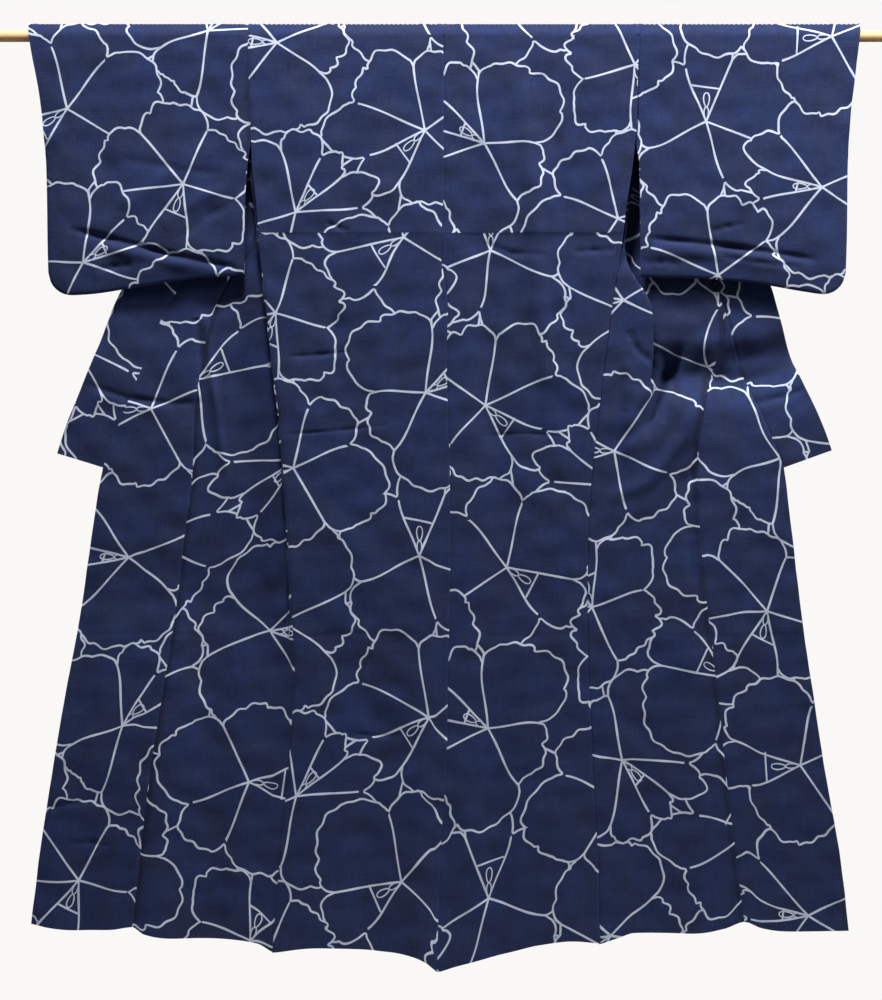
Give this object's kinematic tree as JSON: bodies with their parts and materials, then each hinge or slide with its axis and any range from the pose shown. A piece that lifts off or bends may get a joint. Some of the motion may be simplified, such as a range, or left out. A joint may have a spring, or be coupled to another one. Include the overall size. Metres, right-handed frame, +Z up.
{
  "type": "cotton yukata robe on a hanging rod",
  "caption": "Straight-cut cotton robe with wide sleeves and a long band collar, hung open by a round wooden rod through its sleeves, seen from its back.",
  "frame": {"origin": "middle of the hanging rod, on its axis", "axes": "+X along the rod, towards the sleeve that is on the right when the robe's back is seen; -Y is the side the robe's back faces; +Z up"},
  "size_m": [1.52, 0.093, 1.5153],
  "materials": {
    "robe_cotton": "matte printed indigo cotton",
    "rod_wood": "pale sanded wood"
  },
  "bodies": {
    "root": {"rod": "rod_wood", "body_left": "robe_cotton", "body_right": "robe_cotton", "sleeve_left": "robe_cotton", "sleeve_right": "robe_cotton", "okumi_left": "robe_cotton", "okumi_right": "robe_cotton", "collar": "robe_cotton"}
  },
  "joints": []
}
